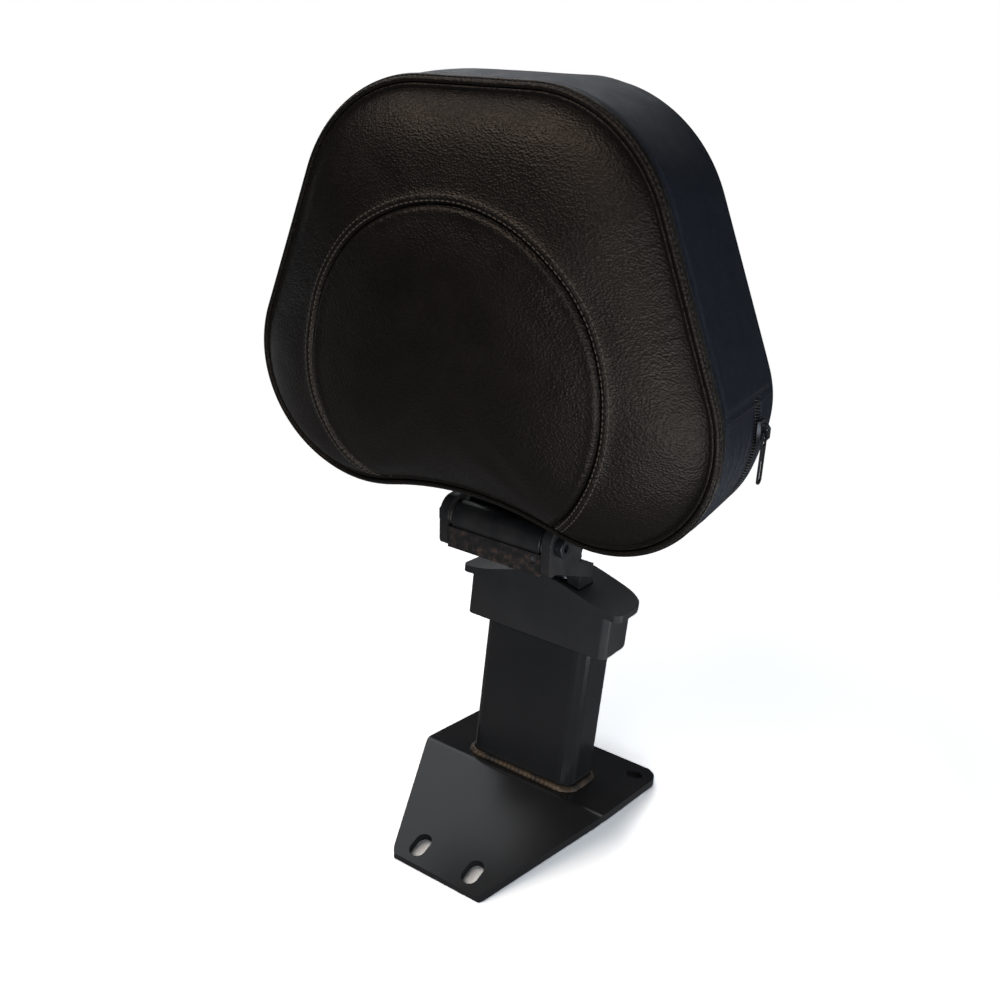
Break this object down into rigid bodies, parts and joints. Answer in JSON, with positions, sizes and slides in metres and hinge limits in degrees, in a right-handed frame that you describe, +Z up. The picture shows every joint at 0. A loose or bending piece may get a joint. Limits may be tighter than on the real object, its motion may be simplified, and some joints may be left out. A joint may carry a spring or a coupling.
{
  "type": "motorcycle driver backrest",
  "caption": "Padded driver backrest for a motorcycle: a shaped leather pad with a zipped cover, hinged above a capped post that is welded to a bent base plate.",
  "frame": {"origin": "on the floor, below the bend line of the base plate, on the middle plane of the backrest", "axes": "+Z up, -Y towards the driver's side of the pad (its crowned front), +X to the right seen from that side"},
  "size_m": [0.2967, 0.175, 0.4724],
  "materials": {
    "satin_steel": "satin dark grey powder coat",
    "weld": "heat tinted bead",
    "moulded_cap": "fine matt grain",
    "hinge_steel": "satin black",
    "zinc": "plated",
    "bush": "bare",
    "leather": "pebbled black",
    "vinyl": "smooth black",
    "foam": "open cell foam",
    "board": "plywood",
    "zip": "woven tape with coil",
    "slider": "black enamel"
  },
  "bodies": {
    "stand": {"base_plate": "satin_steel", "post_tube": "satin_steel", "weld_bead": "weld", "post_top_plate": "satin_steel", "post_cap": "moulded_cap", "hinge_web": "hinge_steel", "neck_block": "hinge_steel", "neck_screw_left": "zinc", "neck_screw_right": "zinc", "left_ear": "hinge_steel", "right_ear": "hinge_steel", "saddle_block": "hinge_steel", "set_screw": "zinc", "pivot_bolt": "zinc", "pivot_nut": "zinc"},
    "pad": {"hinge_barrel": "hinge_steel", "bush_left": "bush", "bush_right": "bush", "pad_bracket": "satin_steel", "backing_board": "board", "pad_screw_1": "zinc", "pad_screw_2": "zinc", "pad_screw_3": "zinc", "pad_screw_4": "zinc", "tee_nut_1": "zinc", "tee_nut_2": "zinc", "tee_nut_3": "zinc", "tee_nut_4": "zinc", "foam_core": "foam", "border_panel": "leather", "arch_panel": "leather", "front_welt": "vinyl", "upper_gusset": "vinyl", "lower_gusset_front": "vinyl", "lower_gusset_rear": "vinyl", "rear_panel": "vinyl", "zip_chain": "zip"},
    "zip_slider": {"zip_slider": "slider"},
    "zip_pull": {"zip_pull": "slider"}
  },
  "joints": [
    {"name": "pad_fold", "type": "hinge", "parent": "stand", "child": "pad", "pos_m": [0, -0.022, 0.222], "axis": [1, 0, 0], "range_deg": [-10, 90]},
    {"name": "zip_run", "type": "hinge", "parent": "pad", "child": "zip_slider", "pos_m": [0.07513, -0.02199, 0.31605], "axis": [0, 0.9997, 0.0237], "range_deg": [0, 36]},
    {"name": "pull_swing", "type": "hinge", "parent": "zip_slider", "child": "zip_pull", "pos_m": [0.14892, -0.02202, 0.31734], "axis": [0, 0.9997, 0.0237], "range_deg": [-150, 5]}
  ]
}
